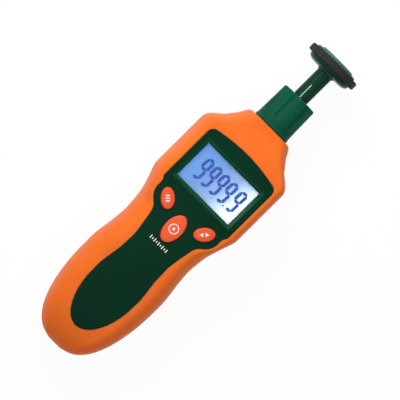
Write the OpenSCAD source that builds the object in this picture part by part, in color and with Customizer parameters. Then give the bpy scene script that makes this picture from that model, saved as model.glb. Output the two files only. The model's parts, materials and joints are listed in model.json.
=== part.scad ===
// Handheld contact tachometer: a two-shell meter with a plug-on adapter that carries a surface-speed wheel.
// The meter lies on its back. X is its width, +Y points to the wheel and +Z out of its face.
// The origin is under the middle of the whole instrument, on the surface that it lies on.

/* [Body] */
// Length of the meter body, from its tail to its nose face
body_l = 160; // [150:1:175]
// Width of the meter's head
head_w = 59.1; // [57:0.5:66]
// Height of the head's face above the flat back
body_h = 40.5; // [39.5:0.5:46]
// Widest width of the grip
grip_w = 51.4; // [50:0.5:56]
// Fall of the face from the head down to the tail
grip_fall = 6.5; // [3:0.5:7.5]
// Thickness of the moulded shells
wall = 2.2; // [1.8:0.1:2.6]
// Height of the plane where the two shells meet
split_z = 18; // [17:0.5:19]
// Depth of the spindle below the head's face
axis_drop = 19; // [18.5:0.5:20]

/* [Face] */
// Thickness of the dark face panel
panel_t = 1.6; // [1.2:0.1:2]
// Width of the shell on each side of the face panel
panel_side = 5.9; // [5.6:0.1:7]
// Width of the panel on each side of the display opening
window_side = 4.9; // [4.4:0.1:6.6]
// Length of the display opening, along the meter
window_l = 23; // [20:0.5:24]
// Width of the sloped frame round the display opening
bevel_w = 2; // [1:0.1:2.2]
// Depth of that frame below the face
bevel_depth = 2.6; // [2.2:0.1:3]

/* [Buttons] */
// Long diameter of the middle button
measure_l = 17.2; // [14:0.2:18]
// Short diameter of the middle button
measure_w = 10.3; // [8:0.1:11]
// Long diameter of the two side buttons
side_l = 11.7; // [10:0.1:12.4]
// Short diameter of the two side buttons
side_w = 7.5; // [6:0.1:8]
// Height of the buttons above the panel
button_rise = 1.2; // [1:0.1:1.6]
// Travel of each button
button_travel = 0.8; // [0.5:0.1:1]

/* [Adapter] */
// Length of the fluted adapter outside the meter
hub_l = 22.2; // [21:0.2:26]
// Diameter of the adapter at the meter
hub_base_d = 22.6; // [21.8:0.1:24]
// Diameter of the adapter at its free end
hub_tip_d = 21.3; // [20.4:0.1:21.6]
// Number of finger flutes round the adapter
flutes = 7; // [5:1:9]
// Depth of the flutes at the free end
flute_depth = 1.4; // [0.8:0.1:1.6]
// Diameter of the spigot that plugs into the nose
spigot_d = 16.2; // [15.8:0.1:16.6]
// Length of the spigot
spigot_l = 10; // [9:0.5:11]
// Diameter of the spindle
spindle_d = 5; // [4.6:0.1:5.2]
// Outside diameter of the spindle bearings
bearing_d = 13; // [12.6:0.1:13.2]
// Width of the spindle bearings
bearing_w = 4; // [3.6:0.1:4.2]

/* [Wheel] */
// Rolling diameter of the tyre, 0.1 m round
wheel_d = 31.8; // [30:0.1:34]
// Width of the tyre
tyre_w = 4; // [3.6:0.1:4.8]
// Thickness of the tyre's rubber
tyre_t = 2.9; // [2:0.1:3.4]
// Diameter of the wheel's sleeve
sleeve_d = 9.3; // [8.6:0.1:10.4]
// Length of the sleeve between the adapter and the wheel's back
sleeve_l = 19; // [18:0.5:24]
// Width of the slit in the sleeve
slit_w = 0.6; // [0.5:0.05:1]
// Length of the slit in the sleeve
slit_l = 8.8; // [7:0.2:12]

/* [Battery] */
// Length of the battery without its snaps
battery_l = 46; // [45:0.5:47]
// Width of the battery
battery_w = 26.2; // [25.6:0.1:26.4]
// Thickness of the battery
battery_t = 17.2; // [16.5:0.1:17.5]
// Width of the sliding battery door
door_w = 31; // [30.4:0.2:31.4]
// Thickness of the battery door
door_t = 1.9; // [1.6:0.1:2.2]

/* [Hidden] */
$fn = 48;
overrun = 0.5 * wall;          // how far every cut runs past what it cuts
fit_gap = 0.15;                // gap round a seated piece
slide_gap = 0.2;               // gap round a piece that slides or turns
run_gap = 0.05;                // running clearance of shafts and fits
touch_gap = 0.1;               // gap where a removable piece comes up to its seat

// Whole instrument, measured from the nose face along the spindle
wheel_back_t = 3;              // depth of the wheel behind its tyre
wheel_front_t = 2.1;           // depth of the wheel in front of its tyre
sleeve_gap = 0.3;
sleeve_a = hub_l + sleeve_gap;
wheel_a = sleeve_a + sleeve_l;
tyre_a = wheel_a + wheel_back_t;
front_a = tyre_a + tyre_w;
tip_a = front_a + wheel_front_t;
tail_y = -(body_l + tip_a) / 2;
nose_y = tail_y + body_l;

// Places along the body
window_share = 0.75;           // middle of the display opening
side_share = 0.6;              // middle of the two side buttons
measure_share = 0.543125;      // middle of the middle button
tail_screw_share = 0.275;
board_tail_share = 0.4125;
board_step_share = 0.59375;
window_t = window_share * body_l;
display_margin = 8;            // from the display opening to the panel's top corners
panel_top_t = window_t + window_l / 2 + display_margin;
slope_gap = 1.5;               // from those corners to the start of the slope down to the nose
nose_start = panel_top_t + slope_gap;
nose_slope_l = body_l - nose_start;

// Body form
head_r = head_w / 2;
grip_r = grip_w / 2;
axis_z = body_h - axis_drop;
panel_w = head_w - 2 * panel_side;
window_w = panel_w - 2 * window_side;
tail_wall = 3;
nose_wall = 3;
tail_round_share = 0.29375;    // share of the body's length over which the tail rounds in
tail_round_l = tail_round_share * body_l;
tail_power = 2.8;              // squareness of that rounding
tail_blunt = 0.2;
dome_l = 24;                   // length over which the tail closes in height
dome_power = 2.4;
roll_power = 2.4;              // squareness of the roll from the face down to the side
nose_round = 0.9;
nose_half_h = 13.1;            // half height of the nose face
face_start_share = 0.475;      // the face is level from here to the slope
roll_steps = 8;
inner_steps = 5;

// Sides ahead of the round tail: share of the body's length, share of half the head's width
side_shares = [
    [0.336, 0.866], [0.376, 0.847], [0.415, 0.816], [0.45, 0.797], [0.478, 0.788], [0.506, 0.799],
    [0.547, 0.823], [0.581, 0.864], [0.612, 0.921], [0.644, 0.982], [0.655, 0.998], [0.669, 1],
    [0.7, 1], [0.78, 1], [0.856, 1], [0.876, 0.998], [0.886, 0.979], [0.9025, 0.907], [0.9156, 0.826],
    [0.9288, 0.741], [0.942, 0.688], [0.955, 0.633], [0.968, 0.582], [0.985, 0.531], [0.9944, 0.497],
    [1, 0.46]];
// Level part of the face: share of the body's length, share of the half width there
level_shares = [
    [0, 0.6], [0.49, 0.6], [0.54, 0.67], [0.578, 0.84], [0.6, 0.86], [0.65, 0.83], [0.881, 0.83], [1, 0.5]];
back_level_shares = [[0, 0.76], [0.881, 0.76], [1, 0.5]];
tail_angles = [0, 8, 14, 21, 29, 37, 46, 56, 67, 78, 90];

function mix(a, b, s) = a + (b - a) * s;
function ease(s) = let (c = max(0, min(1, s))) c * c * (3 - 2 * c);
function closing(t, len, power) = t >= len
    ? 1
    : pow(1 - pow(1 - max(t, tail_blunt) / len, 2), 1 / power);

grip_share = side_shares[0][1];
grip_end_share = side_shares[0][0];
grip_blend_share = 0.28;
grip_excess = grip_r - grip_share * head_r;
tail_stations = [for (a = tail_angles) let (t = tail_round_l * (1 - cos(a)))
    [t, grip_r * closing(t, tail_round_l, tail_power)]];
fore_stations = [for (s = side_shares) [s[0] * body_l,
    s[1] * head_r + grip_excess * max(0, 1 - (s[0] - grip_end_share) / grip_blend_share)]];
// Body stations as [distance from the tail, half width]
stations = concat(tail_stations, fore_stations);
places = [for (s = stations) s[0]];
slope_step = 0.4;

function half_w(t) = lookup(t, stations);
function side_slope(t) = (half_w(t + slope_step) - half_w(t - slope_step)) / (2 * slope_step);
function inset_w(t, inset) = half_w(t) - inset * sqrt(1 + pow(side_slope(t), 2));
function nose_edge(t) = nose_round * pow(max(0, (t - body_l + nose_round) / nose_round), 2);
function grip_z(t) = body_h - grip_fall * ease(1 - t / (face_start_share * body_l));
function face_z(t) = t < nose_start
    ? split_z + (grip_z(t) - split_z) * closing(t, dome_l, dome_power)
    : mix(body_h, axis_z + nose_half_h, ease((t - nose_start) / nose_slope_l)) - nose_edge(t);
function back_z(t) = t < nose_start
    ? split_z * (1 - closing(t, dome_l, dome_power))
    : (axis_z - nose_half_h) * ease((t - nose_start) / nose_slope_l) + nose_edge(t);
function lid_t(t) = wall + panel_t * (1 - ease((t - nose_start) / nose_slope_l * 2));

// One quarter of a section: from the side at the split plane to the edge of the level part
function roll(side, level, low, high, steps) = [for (i = [0:steps]) let (a = 90 * i / steps)
    [level + (side - level) * pow(cos(a), 2 / roll_power), low + (high - low) * pow(sin(a), 2 / roll_power)]];
function mirrored(points) = [for (i = [len(points) - 1:-1:0]) [-points[i][0], points[i][1]]];
function section(quarter, base) = let (side = quarter[0][0])
    concat([[side, base]], quarter, mirrored(quarter), [[-side, base]]);
function placed(points, t) = [for (p = points) [p[0], tail_y + t, p[1]]];
function upper_ring(t, inset, lid, base, steps) = let (
    w = inset_w(t, inset),
    level = w * lookup(t / body_l, level_shares))
    placed(section(roll(w, level, split_z, face_z(t) - lid, steps), base), t);
function lower_ring(t, inset, floor, base, steps) = let (
    w = inset_w(t, inset),
    level = w * lookup(t / body_l, back_level_shares))
    placed(section(roll(w, level, split_z, back_z(t) + floor, steps), base), t);
function within(from, to) = concat([from],
    [for (t = places) if (t > from + slope_step && t < to - slope_step) t], [to]);

// Closed skin through rings that have the same number of points
module skin(rings, flip = false) {
    n = len(rings[0]);
    last = len(rings) - 1;
    sides = [for (k = [0:last - 1]) for (i = [0:n - 1]) let (j = (i + 1) % n, a = k * n + i, b = k * n + j)
        each [[a, b, b + n], [a, b + n, a + n]]];
    ends = [[for (i = [n - 1:-1:0]) i], [for (i = [0:n - 1]) last * n + i]];
    faces = concat(sides, ends);
    polyhedron([for (r = rings) each r], flip ? [for (f = faces) [for (i = [len(f) - 1:-1:0]) f[i]]] : faces);
}

module upper_outer() {
    skin([for (t = places) upper_ring(t, 0, 0, split_z, roll_steps)]);
}

module upper_inner() {
    skin([for (t = within(tail_wall, body_l - nose_wall))
        upper_ring(t, wall, lid_t(t), split_z - overrun, inner_steps)]);
}

module lower_outer() {
    skin([for (t = places) lower_ring(t, 0, 0, split_z, roll_steps)], true);
}

module lower_inner() {
    skin([for (t = within(tail_wall, body_l - nose_wall))
        lower_ring(t, wall, wall, split_z + overrun, inner_steps)], true);
}

// Outline of the body at the split plane, drawn in by inset
function plan(inset) = let (
    right = [for (t = within(inset, body_l - inset)) [max(inset_w(t, inset), inset), tail_y + t]])
    concat(right, mirrored(right));

// Plain solids in the body's own terms: t is the distance from the tail, a the distance from the nose face
module block(half, t0, t1, z0, z1) {
    translate([-half, tail_y + t0, z0]) cube([2 * half, t1 - t0, z1 - z0]);
}

module pillar(x, t, r, z0, z1) {
    translate([x, tail_y + t, z0]) cylinder(r = r, h = z1 - z0);
}

module along_side(points, half) {
    translate([-half, 0, 0]) rotate([90, 0, 90]) linear_extrude(2 * half) polygon(points);
}

module rod(r, a0, a1, x = 0) {
    translate([x, nose_y + a0, axis_z]) rotate([-90, 0, 0]) cylinder(r = r, h = a1 - a0);
}

// Revolved profile of [radius, distance from the nose face]
module turned(profile) {
    translate([0, nose_y, axis_z]) rotate([-90, 0, 0]) rotate_extrude() polygon(profile);
}

// Quarter of a round edge from [r, a0] to [r - radius, a0 + radius] on a turned profile
function round_edge(r, a, radius, from, to, steps) = [for (i = [0:steps]) let (k = mix(from, to, i / steps))
    [r - radius + radius * cos(k), a + radius * sin(k)]];
edge_steps = 6;

// Face panel
panel_proud = 0.2;             // how far the panel stands above the shell
panel_tail_t = 14.8;           // where the panel's round tail starts
panel_tail_end_share = 0.2675; // where the round tail ends, as a share of the body's length
panel_tail_l = panel_tail_end_share * body_l - panel_tail_t;
panel_tail_w = 29.2;           // width of the round tail
panel_arch = 2;                // rise of the top edge at its middle
panel_corner = 4;
// Sides of the panel from its tail to the head: share of the body's length, share of half the panel's width
panel_shares = [
    [0.294, 0.617], [0.322, 0.6], [0.35, 0.57], [0.376, 0.545], [0.4, 0.537], [0.44, 0.529], [0.464, 0.55],
    [0.496, 0.584], [0.525, 0.617], [0.541, 0.647], [0.5525, 0.69], [0.56, 0.745], [0.568, 0.81],
    [0.579, 0.875], [0.592, 0.918], [0.606, 0.935], [0.622, 0.935], [0.632, 0.945], [0.638, 0.965],
    [0.643, 0.99]];
panel_side_t = 0.65 * body_l;
arch_steps = 8;

function face_line(t) = lookup(t, [for (p = places) [p, face_z(p)]]);
function panel_outline(grow) = let (
    r = panel_w / 2,
    tail = [for (a = [0:9:81]) [panel_tail_w / 2 * sin(a) + grow * sin(a),
        tail_y + panel_tail_t + panel_tail_l * (1 - cos(a)) - grow * cos(a)]],
    side = [for (s = panel_shares) [s[1] * r + grow, tail_y + s[0] * body_l]],
    corner = [for (a = [0:15:90]) [r - panel_corner + (panel_corner + grow) * cos(a),
        tail_y + panel_top_t - panel_corner + (panel_corner + grow) * sin(a)]],
    arch = [for (i = [1:arch_steps - 1]) let (s = i / arch_steps) [(r - panel_corner) * (1 - s),
        tail_y + panel_top_t + grow + panel_arch * (1 - pow(1 - s, 2))]],
    right = concat(tail, side, [[r + grow, tail_y + panel_side_t]], corner, arch),
    top = [[0, tail_y + panel_top_t + grow + panel_arch]])
    concat(right, top, [for (p = mirrored(right)) if (p[0] < 0) p]);

module panel_slab(low, high, grow) {
    ts = within(panel_tail_t - wall, panel_top_t + panel_arch + wall);
    lower = [for (t = ts) [tail_y + t, face_line(t) + low]];
    upper = [for (i = [len(ts) - 1:-1:0]) [tail_y + ts[i], face_line(ts[i]) + high]];
    intersection() {
        linear_extrude(body_h + wall) polygon(panel_outline(grow));
        along_side(concat(lower, upper), panel_w);
    }
}

// Display
collar_wall = 1;               // frame wall under the panel
frame_lip = 0.3;               // upright lip at the foot of the slope
face_top = body_h + panel_proud;
lid_z = body_h - wall - panel_t;
frame_foot_z = face_top - bevel_depth;
collar_side = collar_wall + bevel_w * (1 - panel_t / bevel_depth);
collar_half_w = window_w / 2 + collar_side;
collar_half_l = window_l / 2 + collar_side;
pane_t = 1;                    // thickness of the clear window
pane_z = frame_foot_z - pane_t;
lcd_t = 2.2;
lcd_top_z = min(pane_z, lid_z) - 2 * fit_gap;
lcd_z = lcd_top_z - lcd_t;
lcd_side = 2;                  // display glass past the opening's sides
lcd_end = 3.2;                 // display glass past the opening's ends
lcd_half_w = window_w / 2 + lcd_side;
lcd_half_l = window_l / 2 + lcd_end;
holder_wall = 1;

// Shell screws
screw_r = 1.3;
screw_head_r = 2.3;
screw_head_t = 1.8;
screw_seat_z = 8;
screw_l = 14;
tower_r = 3.6;
boss_r = 2.7;
tail_screw_gap = 4.3;          // from the door's side to the screws at the tail
nose_screw_x = 17.4;
nose_screw_gap = 4.4;          // from the start of the slope to the screws at the nose
nose_screw_t = nose_start + nose_screw_gap;
shell_spots = [[door_w / 2 + tail_screw_gap, tail_screw_share * body_l], [nose_screw_x, nose_screw_t]];
board_gap = 0.5;               // between the board and the front screws' bosses
board_nose_t = nose_screw_t - boss_r - board_gap;

module bevel_cut() {
    slant = bevel_w / (bevel_depth - frame_lip);
    sizes = [[0, frame_foot_z - overrun], [0, frame_foot_z + frame_lip],
        [bevel_w + overrun * slant, face_top + overrun]];
    skin([for (s = sizes) let (w = window_w / 2 + s[0], l = window_l / 2 + s[0], y = tail_y + window_t)
        [[w, y - l, s[1]], [w, y + l, s[1]], [-w, y + l, s[1]], [-w, y - l, s[1]]]], true);
}

// Buttons as [x, t, long half, short half, turn of the long side from X]
side_x_share = 0.575;          // share of half the panel's width
side_x = side_x_share * panel_w / 2;
side_t = side_share * body_l;
measure_t = measure_share * body_l;
measure_spot = [0, measure_t, measure_l / 2, measure_w / 2, 90];
memory_spot = [-side_x, side_t, side_l / 2, side_w / 2, 135];
mode_spot = [side_x, side_t, side_l / 2, side_w / 2, 45];
spots = [measure_spot, memory_spot, mode_spot];
button_gap = 0.3;
flange_w = 0.8;                // width of the flange that keeps a button in
flange_t = 1;
button_edge = 0.8;             // rounding of a button's top edge
button_crown = 0.25;           // rise of a button's top towards its middle
stem_r = 2.2;
oval_steps = 40;

function oval(spot, grow) = [for (i = [0:oval_steps - 1]) let (k = 360 * i / oval_steps,
        u = (spot[2] + grow) * cos(k), v = (spot[3] + grow) * sin(k))
    [spot[0] + u * cos(spot[4]) - v * sin(spot[4]), tail_y + spot[1] + u * sin(spot[4]) + v * cos(spot[4])]];
function oval_ring(spot, grow, z) = [for (p = oval(spot, grow)) [p[0], p[1], z]];

module oval_slab(spot, grow, z0, z1) {
    translate([0, 0, z0]) linear_extrude(z1 - z0) polygon(oval(spot, grow));
}

// Board and what stands on it
board_t = 1.6;
board_drop = 12.5;             // from the face down to the board's underside
board_z = body_h - board_drop;
board_top_z = board_z + board_t;
board_tail_t = board_tail_share * body_l;
board_step_t = board_step_share * body_l;
board_half_w = lcd_half_w + 0.25 * holder_wall;
board_tail_rim = 2.4;          // board outside the middles of the side buttons
board_tail_half_w = side_x + board_tail_rim;
board_screw_r = 1;
board_boss_r = 2.2;
nose_hole_in = 4;              // from the board's side to its front screws
nose_hole_back = 4.2;
tail_hole_in = 3;
tail_hole_on = 9.5;
board_spots = [[board_half_w - nose_hole_in, board_nose_t - nose_hole_back],
    [board_tail_half_w - tail_hole_in, board_tail_t + tail_hole_on]];
holder_lip = 0.9;
strip_w = 2;
mat_t = 1.2;
mat_rim = 3.8;                 // mat outside the middles of the side buttons
mat_tail_l = 7.7;
mat_nose_l = 6;
mat_half_w = side_x + mat_rim;
mat_from_t = measure_t - mat_tail_l;
mat_to_t = side_t + mat_nose_l;
collar_h = 3;
collar_t = 0.9;
pad_gap = 0.3;
stem_foot_z = board_top_z + button_travel + pad_gap;

// Lip of the rear shell inside the front shell
lip_h = 1.2;
lip_t = 0.45 * wall;

// Battery bay
battery_gap = 0.3;
door_lift = 0.3;               // the door lies this far above the flat back
battery_z = door_lift + door_t + battery_gap;
battery_from_t = 17.6;
battery_to_t = battery_from_t + battery_l;
battery_corner = 2;
bay_half_w = battery_w / 2 + battery_gap;
bay_wall = 1.5;
bay_from_t = battery_from_t - battery_gap;
snap_room = 5.4;               // room for the snap in front of the battery
bay_to_t = battery_to_t + snap_room;
bay_top_z = split_z - slide_gap;
bay_sill_z = 9;
shelf_t = 1.6;
door_top_z = door_lift + door_t;
door_past = 2.4;               // how far the door reaches past the battery
door_to_t = battery_to_t + door_past;
door_lip_z = bay_sill_z;       // height of the door's round end at the tail
door_lip_t = bay_from_t - bay_wall - slide_gap;
tongue_w = 1;
tongue_t = 1;
tongue_z = door_lift + 0.35 * door_t;
tongue_back = 6;
tongue_on = 4.4;
tongue_to_t = door_to_t - tongue_back;
tongue_from_t = battery_from_t + tongue_on;
catch_l = 1.6;
catch_half_w = 4;
terminal_x = 6.35;
terminal_l = 2.9;
male_r = 2.9;
female_r = 3.9;
snap_t = 3.7;
snap_half_w = 12;
snap_half_h = 6.5;
battery_mid_z = battery_z + battery_t / 2;
lead_r = 0.65;
lead_x = 2.4;

// Nose socket and optics, measured from the nose face
socket_wall = 1.55;
socket_gap = 0.08;
socket_bore_r = spigot_d / 2 + socket_gap;
socket_r = socket_bore_r + socket_wall;
lens_room = 3.5;               // socket behind the spigot
socket_back = spigot_l + lens_room;
socket_flange_r = socket_r + 1.3;
socket_flange_t = 2.1;
lens_t = 1.5;
lens_r = socket_bore_r + 0.4;
rib_t = 2.4;
rib_half_w = 12;
key_w = 2;
key_h = 0.8;
key_l = 0.6 * spigot_l;
optics_gap = 0.2;
optics_l = 17;
optics_half_w = 9.5;
optics_drop = 6.4;             // from the spindle's height down to the block's foot
laser_x = -4.2;
sensor_x = 4.2;
laser_r = 3;
laser_l = 12;
sensor_r = 2.5;
sensor_l = 6;

// Adapter and its bearings, measured from the nose face
hub_r = hub_base_d / 2;
hub_tip_r = hub_tip_d / 2;
band_l = 1.6;                  // plain band at the meter
hub_edge = 1;
flute_r = 3.2;
flute_start = 4.4;
first_flute = -15;             // turn of the first flute from +Z
ring_a = -0.7 * spigot_l;
ring_groove_r = spigot_d / 2 - 0.8;
ring_r = (socket_bore_r - ring_groove_r) / 2 - run_gap;
ring_slot = ring_r + run_gap;
rear_bearing_in = 3.4;         // from the spigot's end to its bearing
rear_bearing_a = -spigot_l + rear_bearing_in;
cap_t = 1.5;
cap_r = 7.6;
cap_hole_r = 5.2;
front_bearing_a = hub_l - cap_t - touch_gap - bearing_w;
bearing_r = bearing_d / 2;
seat_r = bearing_r + run_gap;
middle_r = bearing_r - 1.1;
spindle_r = spindle_d / 2;
spindle_back = spigot_l - 0.8;
spindle_grip = 16;             // length of the spindle inside the sleeve
pitch_r = (bearing_r + spindle_r) / 2;
ball_r = 0.25 * (bearing_r - spindle_r);
balls = 8;
race_gap = 0.02;
race_edge = 0.86 * ball_r;
spacer_r = spindle_r + 1.2;
clip_r = spindle_r + 1.1;
clip_t = 0.6;
clip_depth = 0.3;
disc_r = bearing_r - 0.7;
disc_t = 1;
disc_hub_r = spindle_r + 0.9;
disc_a = -spigot_l + 0.9;

// Wheel, measured from the nose face
wheel_r = wheel_d / 2;
rim_r = wheel_r - tyre_t;
dish_r = rim_r + 0.55;
dish_back_r = 9.9;
sleeve_r = sleeve_d / 2;
sleeve_edge = 0.4;
sleeve_bore_l = spindle_grip + 1.2;
flare_r = sleeve_r + 1.3;
flare_l = 1.3;
tyre_edge = 0.45;
cover_r = rim_r + 0.2;
cover_flat_r = 10.5;
cover_step = 0.9;
cover_spigot_l = 2.4;
recess_r = rim_r - 1.8;
centre_r = 1.6;
centre_l = 0.8;

module nose_cuts() {
    rod(socket_r + fit_gap, -nose_wall - overrun, overrun);
}

module nose_rib() {
    difference() {
        block(rib_half_w, body_l - nose_wall - socket_flange_t - touch_gap - rib_t,
            body_l - nose_wall - socket_flange_t - touch_gap, 0, body_h);
        rod(socket_r + fit_gap, -socket_back, 0);
    }
}

module front_case() {
    color("darkorange") difference() {
        upper_outer();
        difference() {
            upper_inner();
            nose_rib();
            for (s = shell_spots) for (m = [-1, 1]) pillar(m * s[0], s[1], boss_r, split_z - wall, body_h);
            for (s = board_spots) for (m = [-1, 1]) pillar(m * s[0], s[1], board_boss_r, board_top_z, body_h);
            battery_stops();
        }
        panel_slab(panel_proud - panel_t, wall, fit_gap);
        block(collar_half_w + fit_gap, window_t - collar_half_l - fit_gap,
            window_t + collar_half_l + fit_gap, lid_z - overrun, face_top);
        for (s = spots) oval_slab(s, button_gap, lid_z - overrun, face_top);
        for (s = shell_spots) for (m = [-1, 1])
            pillar(m * s[0], s[1], screw_r + run_gap, split_z - wall, screw_seat_z + screw_l + overrun);
        for (s = board_spots) for (m = [-1, 1])
            pillar(m * s[0], s[1], board_screw_r + run_gap, board_z, lid_z - overrun);
        lip_ring(lip_t + fit_gap, wall + overrun, lip_h + fit_gap);
        nose_cuts();
    }
}

// Two ribs that hold the battery down
module battery_stops() {
    stop_half_w = battery_w / 3;
    for (s = [0.25, 0.7]) let (t = battery_from_t + s * battery_l)
        block(stop_half_w, t, t + bay_wall, battery_z + battery_t + battery_gap, body_h);
}

module lip_ring(outer_inset, inner_inset, height) {
    translate([0, 0, split_z - overrun]) linear_extrude(height + overrun) difference() {
        polygon(plan(wall - outer_inset));
        polygon(plan(inner_inset));
    }
}

module rear_case() {
    color("darkorange") difference() {
        union() {
            difference() {
                lower_outer();
                difference() {
                    lower_inner();
                    nose_rib();
                    bay();
                    for (s = shell_spots) for (m = [-1, 1])
                        pillar(m * s[0], s[1], tower_r, 0, split_z + wall);
                }
            }
            difference() {
                lip_ring(lip_t, wall, lip_h);
                block(head_r, nose_start, body_l, 0, split_z);
            }
        }
        door_cuts();
        for (s = shell_spots) for (m = [-1, 1]) {
            pillar(m * s[0], s[1], screw_r + slide_gap, -overrun, split_z + wall);
            pillar(m * s[0], s[1], screw_head_r + slide_gap, -overrun, screw_seat_z);
        }
        nose_cuts();
    }
}

// Walls round the battery, and the shelves that the door slides under
module bay() {
    difference() {
        union() {
            block(bay_half_w + bay_wall, bay_from_t - bay_wall, bay_to_t + bay_wall, 0, bay_top_z);
            block(door_w / 2 + 2 * tongue_w + wall, bay_from_t - bay_wall, bay_to_t + bay_wall, 0,
                door_top_z + shelf_t);
        }
        block(bay_half_w, bay_from_t, bay_to_t, door_top_z, split_z + wall);
        block(bay_half_w, bay_to_t - overrun, bay_to_t + wall, bay_sill_z, split_z + wall);
    }
}

module door_cuts() {
    reach = door_w / 2 + fit_gap;
    block(reach, -overrun, door_to_t + fit_gap, -overrun, door_top_z + slide_gap);
    block(reach, -overrun, door_lip_t + fit_gap, -overrun, door_lip_z + fit_gap);
    block(bay_half_w, bay_from_t, bay_to_t, -overrun + door_top_z, bay_sill_z);
    block(reach + tongue_w, -overrun, tongue_to_t + fit_gap, tongue_z - fit_gap,
        tongue_z + tongue_t + fit_gap);
    block(catch_half_w + fit_gap, door_to_t, door_to_t + catch_l + 2 * fit_gap, tongue_z - fit_gap,
        tongue_z + tongue_t + fit_gap);
}

module battery_door() {
    color("darkorange") difference() {
        union() {
            intersection() {
                difference() {
                    lower_outer();
                    lower_inner();
                }
                union() {
                    block(door_w / 2, 0, door_to_t, door_lift, door_top_z);
                    block(door_w / 2, 0, door_lip_t, door_lift, door_lip_z);
                }
            }
            block(door_w / 2 + tongue_w, tongue_from_t, tongue_to_t, tongue_z, tongue_z + tongue_t);
            block(catch_half_w, door_to_t - overrun, door_to_t + catch_l, tongue_z, tongue_z + tongue_t);
        }
        thumb_grooves();
    }
}

thumb_grooves = 7;
thumb_pitch = 2;
thumb_half_w = 7;
thumb_depth = 0.7;
thumb_back = 22;
thumb_from_t = door_to_t - thumb_back;

module thumb_grooves() {
    for (i = [0:thumb_grooves - 1]) let (t = thumb_from_t + i * thumb_pitch)
        block(thumb_half_w, t, t + thumb_pitch / 2, 0, door_lift + thumb_depth);
}

module face_panel() {
    color("darkgreen") difference() {
        union() {
            panel_slab(panel_proud - panel_t, panel_proud, 0);
            block(collar_half_w, window_t - collar_half_l, window_t + collar_half_l, frame_foot_z, body_h);
        }
        bevel_cut();
        for (s = spots) oval_slab(s, button_gap, lid_z, face_top + overrun);
    }
}

module display_window() {
    color("lightcyan")
        block(collar_half_w, window_t - collar_half_l, window_t + collar_half_l, pane_z, frame_foot_z);
}

module lcd_glass() {
    color("lightsteelblue") block(lcd_half_w, window_t - lcd_half_l, window_t + lcd_half_l, lcd_z, lcd_top_z);
}

strip_t = lcd_half_l - strip_w - holder_wall / 2;

module strip_slots(grow, z0, z1) {
    for (m = [-1, 1]) let (t = window_t + m * (strip_t + strip_w / 2))
        block(lcd_half_w - holder_wall, t - strip_w / 2 - grow, t + strip_w / 2 + grow, z0, z1);
}

module lcd_holder() {
    color("whitesmoke") difference() {
        block(lcd_half_w + holder_wall, window_t - lcd_half_l - holder_wall,
            window_t + lcd_half_l + holder_wall, board_top_z, lcd_z + holder_lip);
        block(lcd_half_w + run_gap, window_t - lcd_half_l - run_gap, window_t + lcd_half_l + run_gap,
            lcd_z, lcd_z + wall);
        strip_slots(run_gap, board_z, lcd_z + overrun);
    }
}

module contact_strips() {
    color("dimgray") strip_slots(0, board_top_z, lcd_z);
}

module main_board() {
    color("green") difference() {
        union() {
            block(board_half_w, board_step_t, board_nose_t, board_z, board_top_z);
            block(board_tail_half_w, board_tail_t, board_step_t + overrun, board_z, board_top_z);
        }
        for (s = board_spots) for (m = [-1, 1])
            pillar(m * s[0], s[1], board_screw_r + slide_gap, board_z - overrun, board_top_z + overrun);
    }
}

chip_t = 1.4;
chip_half_w = 5;
chip_back = 4;
chip_mid_t = window_t - chip_back;
crystal_r = 1.6;
crystal_l = 6;
capacitor_r = 3.1;
capacitor_l = 7;

// Underside: processor, crystal can, capacitor and driver chip
module board_parts() {
    color("dimgray") {
        block(chip_half_w, chip_mid_t - chip_half_w, chip_mid_t + chip_half_w, board_z - chip_t, board_z);
        block(0.7 * chip_half_w, chip_mid_t - 4 * chip_half_w, chip_mid_t - 2 * chip_half_w,
            board_z - chip_t, board_z);
        pillar(2.4 * chip_half_w, chip_mid_t, capacitor_r, board_z - capacitor_l, board_z);
        pillar(-2.4 * chip_half_w, chip_mid_t, crystal_r, board_z - crystal_l, board_z);
    }
}

module key_mat() {
    color("gray") difference() {
        union() {
            block(mat_half_w, mat_from_t, mat_to_t, board_top_z, board_top_z + mat_t);
            for (s = spots)
                pillar(s[0], s[1], stem_r + slide_gap + collar_t, board_top_z,
                    board_top_z + mat_t + collar_h);
        }
        for (s = spots) pillar(s[0], s[1], stem_r + slide_gap, board_z, lid_z);
    }
}

module button(spot) {
    top = face_top + button_rise;
    flange_top = lid_z - touch_gap;
    rings = concat([[0, flange_top - overrun], [0, top - button_edge]],
        [for (k = [30:30:90]) [-button_edge * (1 - cos(k)), top - button_edge * (1 - sin(k))]],
        [for (s = [0.4, 0.7, 1])
            [-button_edge - s * (0.8 * spot[3] - button_edge), top + button_crown * s * (2 - s)]]);
    color("orangered") {
        skin([for (r = rings) oval_ring(spot, r[0], r[1])], true);
        oval_slab(spot, flange_w, flange_top - flange_t, flange_top);
        pillar(spot[0], spot[1], stem_r, stem_foot_z, flange_top - flange_t / 2);
    }
}

module measure_button() button(measure_spot);

module memory_button() button(memory_spot);

module mode_button() button(mode_spot);

optics_front = -socket_back - optics_gap;

module optics_holder() {
    color("black") difference() {
        block(optics_half_w, body_l + optics_front - optics_l, body_l + optics_front,
            axis_z - optics_drop, board_z);
        rod(laser_r + run_gap, optics_front - laser_l, optics_front + overrun, laser_x);
        rod(sensor_r + run_gap, optics_front - sensor_l, optics_front + overrun, sensor_x);
        for (m = [-1, 1])
            rod(sensor_r / 4, optics_front - optics_l - overrun, optics_front, sensor_x + m * sensor_r / 2);
    }
}

module laser_module() {
    color("goldenrod") difference() {
        rod(laser_r, optics_front - laser_l + run_gap, optics_front, laser_x);
        rod(laser_r / 2, optics_front - laser_r / 2, optics_front + overrun, laser_x);
    }
}

leg_r = 0.25;

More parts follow.
